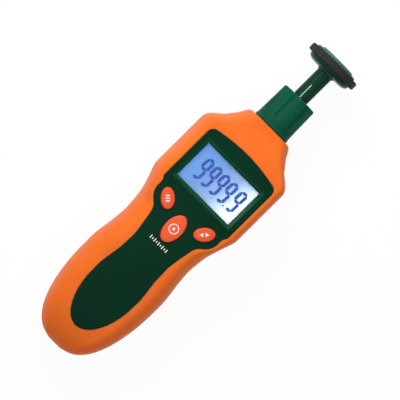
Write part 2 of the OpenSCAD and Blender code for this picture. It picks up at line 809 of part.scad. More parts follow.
module photo_sensor() {
    color("lightcyan") {
        rod(sensor_r, optics_front - sensor_l + run_gap, optics_front - sensor_r, sensor_x);
        translate([sensor_x, nose_y + optics_front - sensor_r, axis_z]) sphere(r = sensor_r - run_gap);
        for (m = [-1, 1])
            rod(leg_r, optics_front - optics_l, optics_front - sensor_l / 2, sensor_x + m * sensor_r / 2);
    }
}

module nose_socket() {
    color("dimgray") difference() {
        turned([
            [socket_bore_r, 0], [socket_r, 0], [socket_r, -nose_wall], [socket_flange_r, -nose_wall],
            [socket_flange_r, -nose_wall - socket_flange_t], [socket_r, -nose_wall - socket_flange_t],
            [socket_r, -socket_back], [lens_r + run_gap, -socket_back],
            [lens_r + run_gap, -socket_back + lens_t], [socket_bore_r, -socket_back + lens_t]]);
        translate([0, nose_y - key_l - fit_gap, axis_z - socket_bore_r - key_h])
            translate([-key_w / 2 - slide_gap, 0, 0])
                cube([key_w + 2 * slide_gap, key_l + wall, key_h + overrun]);
    }
}

module nose_lens() {
    color("lightcyan") rod(lens_r, -socket_back, -socket_back + lens_t - run_gap);
}

corners = [[1, 1, 0], [-1, 1, 90], [-1, -1, 180], [1, -1, 270]];
function rounded_rect(half_w, half_h, r) = [for (c = corners) for (k = [0:30:90])
    [c[0] * (half_w - r) + r * cos(c[2] + k), c[1] * (half_h - r) + r * sin(c[2] + k)]];

// Outline of [x, z] points round the battery's middle, drawn out from t0 to t1
module battery_bar(points, t0, t1) {
    translate([0, tail_y + t0, battery_mid_z]) rotate([90, 0, 180]) linear_extrude(t1 - t0) polygon(points);
}

module battery() {
    color("slategray") {
        battery_bar(rounded_rect(battery_w / 2, battery_t / 2, battery_corner), battery_from_t, battery_to_t);
        translate([terminal_x, tail_y + battery_to_t, battery_mid_z]) rotate([-90, 0, 0])
            cylinder(r = male_r, h = terminal_l);
        translate([-terminal_x, tail_y + battery_to_t, battery_mid_z]) rotate([-90, 0, 0])
            cylinder(r = female_r, h = terminal_l, $fn = 6);
    }
}

module battery_snap() {
    color("black") difference() {
        battery_bar(rounded_rect(snap_half_w, snap_half_h, battery_corner), battery_to_t + slide_gap,
            battery_to_t + slide_gap + snap_t);
        for (m = [-1, 1]) translate([m * terminal_x, tail_y + battery_to_t, battery_mid_z])
            rotate([-90, 0, 0]) cylinder(r = female_r + slide_gap, h = terminal_l + slide_gap);
    }
}

lead_start_t = battery_to_t + slide_gap + snap_t;
lead_run = 6;
lead_end_t = lead_start_t + lead_run;
lead_bend = 5;
lead_steps = 10;
lead_sides = 8;

function bezier(p, s) = let (r = 1 - s)
    r * r * r * p[0] + 3 * s * r * r * p[1] + 3 * s * s * r * p[2] + s * s * s * p[3];
function bezier_way(p, s) = let (r = 1 - s)
    r * r * (p[1] - p[0]) + 2 * s * r * (p[2] - p[1]) + s * s * (p[3] - p[2]);
function wire_ring(x, p, way) = let (n = way / norm(way))
    [for (j = [0:lead_sides - 1]) let (k = 360 * j / lead_sides)
        [x + lead_r * cos(k), tail_y + p[0] - n[1] * lead_r * sin(k), p[1] + n[0] * lead_r * sin(k)]];

// Two wires that leave the snap level and rise to the board's underside
module battery_leads() {
    z = battery_mid_z + snap_half_h / 2;
    route = [[lead_start_t, z], [lead_start_t + lead_bend, z], [lead_end_t, z + lead_bend],
        [lead_end_t, board_z]];
    for (m = [-1, 1]) color(m > 0 ? "red" : "black")
        skin([for (i = [0:lead_steps]) let (s = i / lead_steps)
            wire_ring(m * lead_x, bezier(route, s), bezier_way(route, s))]);
}

module case_screws() {
    color("silver") for (s = shell_spots) for (m = [-1, 1]) difference() {
        union() {
            pillar(m * s[0], s[1], screw_r, screw_seat_z - screw_head_t / 2, screw_seat_z + screw_l);
            pillar(m * s[0], s[1], screw_head_r, screw_seat_z - screw_head_t, screw_seat_z);
        }
        cross_slot(m * s[0], s[1], screw_seat_z - screw_head_t, screw_head_r, screw_head_t);
    }
}

module cross_slot(x, t, z, r, depth) {
    for (turn = [0, 90]) translate([x, tail_y + t, z]) rotate(turn)
        translate([-0.65 * r, -0.12 * r, -depth]) cube([1.3 * r, 0.24 * r, 1.5 * depth]);
}

board_screw_l = 5;
board_head_r = 1.9;
board_head_t = 1.2;

module board_screws() {
    color("silver") for (s = board_spots) for (m = [-1, 1]) difference() {
        union() {
            pillar(m * s[0], s[1], board_screw_r, board_z - board_head_t / 2, board_z + board_screw_l);
            pillar(m * s[0], s[1], board_head_r, board_z - board_head_t, board_z);
        }
        cross_slot(m * s[0], s[1], board_z - board_head_t, board_head_r, board_head_t);
    }
}

module adapter_body() {
    step = 0.3;
    profile = concat(
        [[middle_r, rear_bearing_a + bearing_w + run_gap], [seat_r, rear_bearing_a + bearing_w + run_gap],
            [seat_r, -spigot_l], [spigot_d / 2 - step, -spigot_l], [spigot_d / 2, -spigot_l + step],
            [spigot_d / 2, ring_a - ring_slot], [ring_groove_r, ring_a - ring_slot],
            [ring_groove_r, ring_a + ring_slot], [spigot_d / 2, ring_a + ring_slot],
            [spigot_d / 2, touch_gap], [hub_r - step, touch_gap], [hub_r, touch_gap + step], [hub_r, band_l],
            [hub_r - step, band_l + step]],
        round_edge(hub_tip_r, hub_l - hub_edge, hub_edge, 0, 90, edge_steps),
        [[cap_r + run_gap, hub_l], [cap_r + run_gap, hub_l - cap_t], [seat_r, hub_l - cap_t],
            [seat_r, front_bearing_a - run_gap], [middle_r, front_bearing_a - run_gap]]);
    color("seagreen") {
        difference() {
            turned(profile);
            for (i = [0:flutes - 1]) translate([0, nose_y, axis_z])
                rotate([0, first_flute + 360 * i / flutes, 0]) flute_cut();
        }
        translate([-key_w / 2, nose_y - key_l, axis_z - spigot_d / 2 - key_h + slide_gap])
            cube([key_w, key_l + step, key_h + wall / 2]);
    }
}

// Ball-ended cutter that lies along the adapter's taper
module flute_cut() {
    taper = atan((hub_r - hub_tip_r) / hub_l);
    translate([0, hub_l, hub_tip_r - flute_depth + flute_r]) rotate([-90 - taper, 0, 0]) {
        translate([0, 0, -hub_l + flute_start + flute_r]) cylinder(r = flute_r, h = hub_l);
        translate([0, 0, -hub_l + flute_start + flute_r]) sphere(r = flute_r);
    }
}

module adapter_cap() {
    color("seagreen") turned([[cap_hole_r, hub_l - cap_t], [cap_r, hub_l - cap_t], [cap_r, hub_l],
        [cap_hole_r, hub_l]]);
}

module spigot_ring() {
    color("black") translate([0, nose_y + ring_a, axis_z]) rotate([-90, 0, 0]) rotate_extrude()
        translate([(socket_bore_r + ring_groove_r) / 2, 0]) circle(r = ring_r);
}

bearings = [rear_bearing_a, front_bearing_a];

module groove_ring(a) {
    translate([0, nose_y + a + bearing_w / 2, axis_z]) rotate([-90, 0, 0]) rotate_extrude()
        translate([pitch_r, 0]) circle(r = ball_r + race_gap);
}

module outer_races() {
    color("silver") for (a = bearings) difference() {
        rod(bearing_r, a, a + bearing_w);
        rod(pitch_r + race_edge * 0.6, a - overrun, a + bearing_w + overrun);
        groove_ring(a);
    }
}

module inner_races() {
    color("silver") for (a = bearings) difference() {
        rod(pitch_r - race_edge * 0.6, a, a + bearing_w);
        rod(spindle_r + race_gap, a - overrun, a + bearing_w + overrun);
        groove_ring(a);
    }
}

module bearing_balls() {
    color("gainsboro") for (a = bearings) for (i = [0:balls - 1]) let (k = 360 * i / balls)
        translate([pitch_r * cos(k), nose_y + a + bearing_w / 2, axis_z + pitch_r * sin(k)])
            sphere(r = ball_r);
}

module spindle() {
    end = sleeve_a + spindle_grip;
    nip = 0.5;
    groove_a = front_bearing_a + bearing_w + touch_gap - run_gap;
    groove_end = groove_a + clip_t + 2 * run_gap;
    color("silver") turned([[0, -spindle_back], [spindle_r - nip / 2, -spindle_back],
        [spindle_r, -spindle_back + nip / 2], [spindle_r, groove_a], [spindle_r - clip_depth, groove_a],
        [spindle_r - clip_depth, groove_end], [spindle_r, groove_end], [spindle_r, end - nip],
        [spindle_r - nip, end], [0, end]]);
}

module bearing_spacer() {
    color("silver") difference() {
        rod(spacer_r, rear_bearing_a + bearing_w + run_gap, front_bearing_a - run_gap);
        rod(spindle_r + race_gap, rear_bearing_a, front_bearing_a + overrun);
    }
}

// Open ring in the spindle's groove
module spindle_clip() {
    a = front_bearing_a + bearing_w + touch_gap;
    color("gray") difference() {
        rod(clip_r, a, a + clip_t);
        rod(spindle_r - clip_depth + race_gap, a - overrun, a + clip_t + overrun);
        translate([-0.6 * spindle_r, nose_y + a - overrun, axis_z - 2 * clip_r])
            cube([1.2 * spindle_r, clip_t + 2 * overrun, 2 * clip_r - spindle_r / 2]);
    }
}

module reflector_disc() {
    bore_r = spindle_r + race_gap;
    hub_end = rear_bearing_a - run_gap;
    color("white") turned([[bore_r, disc_a], [disc_r, disc_a], [disc_r, disc_a + disc_t],
        [disc_hub_r, disc_a + disc_t], [disc_hub_r, hub_end], [bore_r, hub_end]]);
}

module wheel_hub() {
    bore_r = spindle_r + run_gap;
    bore_end = sleeve_a + sleeve_bore_l;
    dish_round = dish_r - dish_back_r;
    profile = concat(
        [[0, bore_end], [bore_r, bore_end], [bore_r, sleeve_a], [sleeve_r - sleeve_edge, sleeve_a],
            [sleeve_r, sleeve_a + sleeve_edge], [sleeve_r, wheel_a - flare_l], [flare_r, wheel_a]],
        [for (i = [0:edge_steps]) let (k = 90 * i / edge_steps)
            [dish_back_r + dish_round * sin(k), wheel_a + (wheel_back_t - tyre_edge) * (1 - cos(k))]],
        [[dish_r, tyre_a], [rim_r, tyre_a], [rim_r, front_a], [recess_r, front_a],
            [recess_r, front_a - cover_spigot_l], [0, front_a - cover_spigot_l]]);
    color("seagreen") difference() {
        turned(profile);
        translate([0, nose_y + sleeve_a - overrun, axis_z]) rotate([0, first_flute, 0])
            translate([-slit_w / 2, 0, 0]) cube([slit_w, slit_l + overrun, sleeve_d]);
    }
}

module wheel_cover() {
    chamfer = 0.5;
    foot_a = front_a - cover_spigot_l + fit_gap;
    step_a = tip_a - cover_step;
    color("seagreen") turned([[0, foot_a], [recess_r - run_gap, foot_a], [recess_r - run_gap, front_a],
        [cover_r - chamfer, front_a], [cover_r, front_a + chamfer], [cover_r, step_a - chamfer],
        [cover_r - chamfer, step_a], [cover_flat_r, step_a], [cover_flat_r, tip_a - chamfer / 2],
        [cover_flat_r - chamfer / 2, tip_a], [centre_r, tip_a], [centre_r, tip_a - centre_l],
        [0, tip_a - centre_l]]);
}

module wheel_tyre() {
    r = rim_r + race_gap;
    color("black") turned([[r, tyre_a], [wheel_r - tyre_edge, tyre_a], [wheel_r, tyre_a + tyre_edge],
        [wheel_r, front_a - tyre_edge], [wheel_r - tyre_edge, front_a], [r, front_a]]);
}

front_case();
rear_case();
face_panel();
display_window();
lcd_glass();
lcd_holder();
contact_strips();
main_board();
board_parts();
key_mat();
measure_button();
memory_button();
mode_button();
optics_holder();
laser_module();
photo_sensor();
nose_socket();
nose_lens();
battery();
battery_snap();
battery_leads();
battery_door();
case_screws();
board_screws();
adapter_body();
adapter_cap();
spigot_ring();
outer_races();
bearing_balls();
spindle();
inner_races();
bearing_spacer();
spindle_clip();
reflector_disc();
wheel_hub();
wheel_cover();
wheel_tyre();
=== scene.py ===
import bpy
import bmesh
import json
import math
import numpy as np
from mathutils import Matrix, Vector
from mathutils.bvhtree import BVHTree

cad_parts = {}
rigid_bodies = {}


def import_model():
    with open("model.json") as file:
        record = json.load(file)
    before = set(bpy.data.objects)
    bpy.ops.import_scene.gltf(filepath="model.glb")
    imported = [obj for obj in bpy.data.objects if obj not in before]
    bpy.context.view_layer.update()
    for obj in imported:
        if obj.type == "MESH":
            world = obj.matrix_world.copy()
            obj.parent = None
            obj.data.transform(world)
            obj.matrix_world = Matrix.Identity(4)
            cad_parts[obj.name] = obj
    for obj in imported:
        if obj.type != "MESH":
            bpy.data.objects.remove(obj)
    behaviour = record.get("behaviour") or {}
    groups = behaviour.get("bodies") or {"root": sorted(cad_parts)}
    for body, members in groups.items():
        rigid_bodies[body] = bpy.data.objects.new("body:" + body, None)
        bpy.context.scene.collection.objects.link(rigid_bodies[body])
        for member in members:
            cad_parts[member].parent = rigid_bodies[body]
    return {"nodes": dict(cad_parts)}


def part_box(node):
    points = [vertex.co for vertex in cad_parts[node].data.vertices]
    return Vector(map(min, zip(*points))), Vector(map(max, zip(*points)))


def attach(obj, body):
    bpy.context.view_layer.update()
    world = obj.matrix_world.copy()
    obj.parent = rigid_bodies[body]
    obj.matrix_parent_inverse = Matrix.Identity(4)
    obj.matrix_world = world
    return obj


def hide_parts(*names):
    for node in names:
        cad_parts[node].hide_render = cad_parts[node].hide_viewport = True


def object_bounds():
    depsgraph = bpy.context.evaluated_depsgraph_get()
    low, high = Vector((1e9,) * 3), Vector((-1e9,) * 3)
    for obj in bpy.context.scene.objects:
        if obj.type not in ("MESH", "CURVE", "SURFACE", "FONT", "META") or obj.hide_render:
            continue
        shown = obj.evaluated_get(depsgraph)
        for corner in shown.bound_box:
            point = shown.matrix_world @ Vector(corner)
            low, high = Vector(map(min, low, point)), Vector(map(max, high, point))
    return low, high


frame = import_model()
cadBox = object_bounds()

# Contact tachometer, lying on its back: an orange meter with a green face, and a fluted green adapter with
# a rubber-tyred wheel. Sizes are in millimetres, as in the part, and mm() turns them to Blender's metres.
nodes = frame["nodes"]


def mm(*values):
    return values[0] / 1000 if len(values) == 1 else Vector([v / 1000 for v in values])


def toLinear(hexColour):
    parts = [int(hexColour[i:i + 2], 16) / 255 for i in (1, 3, 5)]
    return tuple(c / 12.92 if c <= 0.04045 else ((c + 0.055) / 1.055) ** 2.4 for c in parts) + (1,)


def addNode(tree, kind, use=None):
    # Adds one shader node. Nodes and sockets in use are linked, colours are hex, the rest plain settings
    node = tree.nodes.new("ShaderNode" + kind)
    for name, value in (use or {}).items():
        if isinstance(value, bpy.types.Node):
            value = value.outputs[0]
        if isinstance(value, bpy.types.NodeSocket):
            tree.links.new(value, node.inputs[name])
        elif isinstance(name, str) and hasattr(node, name):
            setattr(node, name, value)
        else:
            isColour = isinstance(value, str) and value.startswith("#")
            node.inputs[name].default_value = toLinear(value) if isColour else value
    return node


print("stage: camera, floor and light")
view = {
    "refFromTail": 94.95,             # the point on the meter's middle line that the framing starts from
    "refHeight": 18,
    "refPixel": (182.1, 215.1),       # where that point lies in the 400 pixel picture
    "mmPerPixel": 0.527,
    "axisTurn": 44.8,                 # degrees from the picture's level to the meter's long axis
    "leanLeft": 5.0,                  # degrees that the camera leans to the meter's left
    "distance": 2500,
    "near": 50, "far": 20000,         # the range that the camera sees
    "pictureSize": 400,
    "sensor": 36,
}
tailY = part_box("front_case")[0].y * 1000


def placeCamera():
    lean, turn = math.radians(view["leanLeft"]), math.radians(view["axisTurn"])
    back = Vector((-math.sin(lean), 0, math.cos(lean)))
    across = Vector((math.cos(lean), 0, math.sin(lean)))
    along = Vector((0, 1, 0))
    right = along * math.cos(turn) + across * math.sin(turn)
    up = along * math.sin(turn) - across * math.cos(turn)
    half = view["pictureSize"] / 2
    scale = view["mmPerPixel"]
    refPoint = mm(0, tailY + view["refFromTail"], view["refHeight"])
    target = (refPoint + right * mm((half - view["refPixel"][0]) * scale)
              + up * mm((view["refPixel"][1] - half) * scale))
    data = bpy.data.cameras.new("camera")
    data.sensor_width = view["sensor"]
    data.lens = view["sensor"] * view["distance"] / (view["pictureSize"] * scale)
    data.clip_start, data.clip_end = mm(view["near"]), mm(view["far"])
    camera = bpy.data.objects.new("camera", data)
    bpy.context.scene.collection.objects.link(camera)
    basis = [[right[i], up[i], back[i]] for i in range(3)]
    camera.matrix_world = Matrix.Translation(target + back * mm(view["distance"])) @ Matrix(basis).to_4x4()
    bpy.context.scene.camera = camera


lamps = {
    "key": {"place": (-370, 250, 400), "size": 330, "watts": 2.6, "colour": "#fff6ea"},
    "fill": {"place": (40, -120, 680), "size": 560, "watts": 1.35, "colour": "#f4f7ff"},
    "head": {"place": (-60, 560, 300), "size": 380, "watts": 0.6, "colour": "#ffffff"},
}
room = {
    "strength": 0.3,                  # of the white walls as a light; seen or mirrored they are plain white
    "floorGlow": 0.94,                # share of the seen floor that is plain white; the rest takes shadow
    "floorReach": 3000,
    "lampAim": (0, 0, 20),
}


def placeLights():
    for name, lamp in lamps.items():
        data = bpy.data.lights.new(name, "AREA")
        data.shape = "DISK"
        data.size = mm(lamp["size"])
        data.energy = lamp["watts"]
        data.color = toLinear(lamp["colour"])[:3]
        obj = bpy.data.objects.new(name, data)
        obj.location = mm(*lamp["place"])
        aim = mm(*room["lampAim"]) - obj.location
        obj.rotation_euler = aim.to_track_quat("-Z", "Y").to_euler()
        bpy.context.scene.collection.objects.link(obj)


def seenFromCamera(tree):
    path = addNode(tree, "LightPath")
    some = addNode(tree, "Math", {"operation": "MAXIMUM", 0: path.outputs["Is Camera Ray"],
                                  1: path.outputs["Is Glossy Ray"]})
    return addNode(tree, "Math", {"operation": "MAXIMUM", 0: some, 1: path.outputs["Is Transmission Ray"]})


def paintRoom():
    world = bpy.data.worlds.new("studio")
    bpy.context.scene.world = world
    world.use_nodes = True
    tree = world.node_tree
    tree.nodes.clear()
    strength = addNode(tree, "MapRange", {0: seenFromCamera(tree), 3: room["strength"], 4: 1.0})
    back = addNode(tree, "Background", {"Color": "#ffffff", "Strength": strength})
    addNode(tree, "OutputWorld", {"Surface": back})


def makeFloor():
    mesh = bpy.data.meshes.new("floor")
    reach = mm(room["floorReach"])
    mesh.from_pydata([(-reach, -reach, 0), (reach, -reach, 0), (reach, reach, 0), (-reach, reach, 0)], [],
                     [(0, 1, 2, 3)])
    floor = bpy.data.objects.new("floor", mesh)
    bpy.context.scene.collection.objects.link(floor)
    paper = bpy.data.materials.new("white paper sweep")   # matt paper: white, with the object's soft shadow
    paper.use_nodes = True
    tree = paper.node_tree
    tree.nodes.clear()
    matt = addNode(tree, "BsdfDiffuse", {"Color": "#ffffff"})
    glow = addNode(tree, "Emission", {"Color": "#ffffff", "Strength": 1.0})
    share = addNode(tree, "MapRange", {0: seenFromCamera(tree), 3: 0.0, 4: room["floorGlow"]})
    mixed = addNode(tree, "MixShader", {0: share, 1: matt, 2: glow})
    addNode(tree, "OutputMaterial", {"Surface": mixed})
    mesh.materials.append(paper)


placeCamera()
placeLights()
paintRoom()
makeFloor()
bpy.context.scene.view_settings.view_transform = "Standard"


print("stage: materials")


def perMetre(sizeMm):
    # The scale of a pattern whose marks are this many millimetres wide
    return 1000 / sizeMm


def startMaterial(name):
    material = bpy.data.materials.new(name)
    material.use_nodes = True
    tree = material.node_tree
    tree.nodes.clear()
    return material, tree, addNode(tree, "TexCoord").outputs["Object"]


def finishMaterial(material, tree, use):
    addNode(tree, "OutputMaterial", {"Surface": addNode(tree, "BsdfPrincipled", use)})
    return material


def mouldedPlastic(name, base, deep, paleEdgeWearAndHighlight, roughness=0.4, grainMm=0.3, grainLift=0.012, roundMm=0.25,
                   shine=0.3, sheen=0.0):
    # Moulded plastic: a satin skin with the fine spark grain of its mould, slow drifts of shade where it
    # flowed, and edges that are rounded and paler: partly wear from handling, partly a painted highlight
    driftMm, touchMm = 34, 9          # how wide the drifts of shade and the marks of handling are
    material, tree, coords = startMaterial(name)
    drift = addNode(tree, "TexNoise", {"Vector": coords, "Scale": perMetre(driftMm), "Detail": 3.0})
    flow = addNode(tree, "MapRange", {0: drift, 1: 0.3, 2: 0.7})
    skin = addNode(tree, "Mix", {"data_type": "RGBA", 0: flow, 6: base, 7: deep}).outputs[2]
    # paler colour on every edge, found from the rounded normals: partly wear, partly a painted highlight
    rounded = addNode(tree, "Bevel", {"samples": 6, "Radius": mm(roundMm)})
    plain = addNode(tree, "NewGeometry").outputs["Normal"]
    same = addNode(tree, "VectorMath", {"operation": "DOT_PRODUCT", 0: rounded, 1: plain}).outputs["Value"]
    edge = addNode(tree, "MapRange", {0: same, 1: 0.995, 2: 0.86, 3: 0.0, 4: 0.55})
    colour = addNode(tree, "Mix", {"data_type": "RGBA", 0: edge, 6: skin, 7: paleEdgeWearAndHighlight}).outputs[2]
    grain = addNode(tree, "TexNoise", {"Vector": coords, "Scale": perMetre(grainMm), "Detail": 2.0,
                                       "Roughness": 0.6})
    handled = addNode(tree, "TexNoise", {"Vector": coords, "Scale": perMetre(touchMm), "Detail": 4.0})
    matt = addNode(tree, "MapRange", {0: handled, 1: 0.25, 2: 0.75, 3: roughness - 0.05,
                                      4: roughness + 0.06})
    bump = addNode(tree, "Bump", {"Strength": 0.5, "Distance": mm(grainLift), "Height": grain,
                                  "Normal": rounded})
    return finishMaterial(material, tree, {"Base Color": colour, "Roughness": matt, "Normal": bump,
                                           "IOR": 1.54, "Specular IOR Level": shine, "Sheen Weight": sheen,
                                           "Sheen Roughness": 0.3, "Sheen Tint": paleEdgeWearAndHighlight})


def turnedSteel(name, base="#b9bcc0", roughness=0.24, lineMm=0.12, lift=0.004):
    # Turned metal: bright, with fine tool lines round its axis, so its highlight spreads along the part
    smudgeMm = 3
    material, tree, coords = startMaterial(name)
    along = addNode(tree, "SeparateXYZ", {0: coords}).outputs[1]
    lines = addNode(tree, "TexNoise", {"noise_dimensions": "1D", "W": along, "Scale": perMetre(lineMm),
                                       "Detail": 3.0})
    smudge = addNode(tree, "TexNoise", {"Vector": coords, "Scale": perMetre(smudgeMm), "Detail": 3.0})
    shine = addNode(tree, "MapRange", {0: smudge, 1: 0.3, 2: 0.7, 3: roughness - 0.05, 4: roughness + 0.08})
    bump = addNode(tree, "Bump", {"Strength": 0.4, "Distance": mm(lift), "Height": lines})
    tint = addNode(tree, "Mix", {"data_type": "RGBA", 0: lines, 6: base, 7: "#a4a8ad"}).outputs[2]
    return finishMaterial(material, tree, {"Base Color": tint, "Roughness": shine, "Normal": bump,
                                           "Metallic": 1.0})


def clearPlastic(name, tint, roughness=0.05, ior=1.49, shine=0.5):
    # Clear moulded plastic: nearly colourless, with hairline scratches that only catch the light
    hairMm = 0.25                     # real hairlines are finer and wouldn't show
    material, tree, coords = startMaterial(name)
    stretch = addNode(tree, "Mapping", {"Vector": coords, "Scale": (1.0, 0.06, 1.0),
                                        "Rotation": (0, 0, 0.5)})
    hair = addNode(tree, "TexNoise", {"Vector": stretch, "Scale": perMetre(hairMm), "Detail": 2.0})
    dull = addNode(tree, "MapRange", {0: hair, 1: 0.6, 2: 0.75, 3: roughness, 4: roughness + 0.02})
    return finishMaterial(material, tree, {"Base Color": tint, "Roughness": dull, "Transmission Weight": 1.0,
                                           "IOR": ior, "Specular IOR Level": shine})


def displayGlass():
    # Liquid-crystal glass: mid blue with a fine cell grid, and a painted reflection that grows nearly white
    # towards one corner; its emission is a painted glow
    cellMm, paintedReflectionSlant, glow = 0.3, 0.22, 0.22
    material, tree, coords = startMaterial("liquid crystal glass")
    low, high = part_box("lcd_glass")
    parts = addNode(tree, "SeparateXYZ", {0: coords})
    across = addNode(tree, "MapRange", {0: parts.outputs[0], 1: low.x, 2: high.x})
    along = addNode(tree, "MapRange", {0: parts.outputs[1], 1: low.y, 2: high.y, 3: paintedReflectionSlant, 4: 0.0})
    place = addNode(tree, "Math", {"operation": "ADD", 0: across, 1: along})
    ramp = addNode(tree, "ValToRGB", {0: place})
    stops = ramp.color_ramp.elements
    stops[0].position, stops[0].color = 0.1, toLinear("#4f86cc")
    stops[1].position, stops[1].color = 1.0, toLinear("#eaf6ff")
    for position, colour in ((0.45, "#5a86bd"), (0.72, "#7f9cc6"), (0.88, "#b4cfec")):
        stops.new(position).color = toLinear(colour)
    grid = addNode(tree, "TexVoronoi", {"Vector": coords, "Scale": perMetre(cellMm), "Randomness": 0.0})
    cell = addNode(tree, "MapRange", {0: grid, 1: 0.0, 2: 0.7, 3: 0.0, 4: 0.06})
    colour = addNode(tree, "Mix", {"data_type": "RGBA", 0: cell, 6: ramp, 7: "#3d6fb8"}).outputs[2]
    # the emission is a painted glow, and the pale end of the ramp a painted reflection
    return finishMaterial(material, tree, {"Base Color": colour, "Emission Color": colour, "Roughness": 0.3,
                                           "Specular IOR Level": 0.1, "Emission Strength": glow})


def printedInk(name, colour, roughness=0.45, worn="#9aa8a0"):
    # Pad-printed ink: matt, a hair uneven in cover, with the faint mottling of the pad
    mottleMm, mottleLift = 0.5, 0.01
    material, tree, coords = startMaterial(name)
    cover = addNode(tree, "TexNoise", {"Vector": coords, "Scale": perMetre(mottleMm), "Detail": 3.0})
    thin = addNode(tree, "MapRange", {0: cover, 1: 0.55, 2: 0.8, 3: 0.0, 4: 0.18})
    tone = addNode(tree, "Mix", {"data_type": "RGBA", 0: thin, 6: colour, 7: worn}).outputs[2]
    bump = addNode(tree, "Bump", {"Strength": 0.3, "Distance": mm(mottleLift), "Height": cover})
    return finishMaterial(material, tree, {"Base Color": tone, "Roughness": roughness, "Normal": bump,
                                           "Specular IOR Level": 0.2})


def tyreRubber():
    # Ground rubber: matt black with a brown cast, fine grinding lines round the tread and a dusty bloom
    lineMm, gritMm, dustMm, lift = 0.6, 0.35, 3, 0.06     # lines and grit are drawn coarser, to show
    material, tree, coords = startMaterial("ground tyre rubber")
    along = addNode(tree, "SeparateXYZ", {0: coords}).outputs[1]
    lines = addNode(tree, "TexNoise", {"noise_dimensions": "1D", "W": along, "Scale": perMetre(lineMm),
                                       "Detail": 2.0})
    grit = addNode(tree, "TexNoise", {"Vector": coords, "Scale": perMetre(gritMm), "Detail": 3.0})
    height = addNode(tree, "Math", {"operation": "ADD", 0: lines, 1: grit})
    dust = addNode(tree, "TexNoise", {"Vector": coords, "Scale": perMetre(dustMm), "Detail": 4.0})
    bloom = addNode(tree, "MapRange", {0: dust, 1: 0.4, 2: 0.75, 3: 0.0, 4: 0.6})
    rubber = addNode(tree, "Mix", {"data_type": "RGBA", 0: bloom, 6: "#1a181b", 7: "#2f2629"}).outputs[2]
    ridge = addNode(tree, "MapRange", {0: lines, 1: 0.45, 2: 0.8, 3: 0.0, 4: 0.4})
    colour = addNode(tree, "Mix", {"data_type": "RGBA", 0: ridge, 6: rubber, 7: "#3d3a3f"}).outputs[2]
    bump = addNode(tree, "Bump", {"Strength": 0.9, "Distance": mm(lift), "Height": height})
    return finishMaterial(material, tree, {"Base Color": colour, "Normal": bump, "Roughness": 0.7,
                                           "Specular IOR Level": 0.2})


def circuitBoard():
    # Fibreglass board: green solder resist with copper runs showing through and a woven glass base
    runMm, weaveMm = 6, 1.2
    material, tree, coords = startMaterial("solder resist on fibreglass")
    runs = addNode(tree, "TexBrick", {"Vector": coords, "Scale": perMetre(runMm), "Color1": "#17643a",
                                      "Color2": "#1c7345", "Mortar": "#2c8a56", "Mortar Size": 0.05})
    weave = addNode(tree, "TexChecker", {"Vector": coords, "Scale": perMetre(weaveMm)}).outputs["Fac"]
    share = addNode(tree, "MapRange", {0: weave, 3: 0.0, 4: 0.12})
    colour = addNode(tree, "Mix", {"data_type": "RGBA", 0: share, 6: runs, 7: "#0f4a2a"}).outputs[2]
    return finishMaterial(material, tree, {"Base Color": colour, "Roughness": 0.32, "Coat Weight": 0.4})


def batteryJacket():
    # Printed steel can: blue-grey lacquer with a copper band round the terminal end
    bandMm, fadeMm, rubMm = 15, 0.5, 5
    material, tree, coords = startMaterial("lacquered battery can")
    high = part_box("battery")[1]
    along = addNode(tree, "SeparateXYZ", {0: coords}).outputs[1]
    band = addNode(tree, "MapRange", {0: along, 1: high.y - mm(bandMm + fadeMm), 2: high.y - mm(bandMm)})
    rub = addNode(tree, "TexNoise", {"Vector": coords, "Scale": perMetre(rubMm), "Detail": 4.0})
    worn = addNode(tree, "MapRange", {0: rub, 1: 0.5, 2: 0.8, 3: 0.0, 4: 0.3})
    jacket = addNode(tree, "Mix", {"data_type": "RGBA", 0: band, 6: "#3c4650", 7: "#b98a3c"}).outputs[2]
    colour = addNode(tree, "Mix", {"data_type": "RGBA", 0: worn, 6: jacket, 7: "#77818a"}).outputs[2]
    return finishMaterial(material, tree, {"Base Color": colour, "Metallic": 0.6, "Roughness": 0.33})


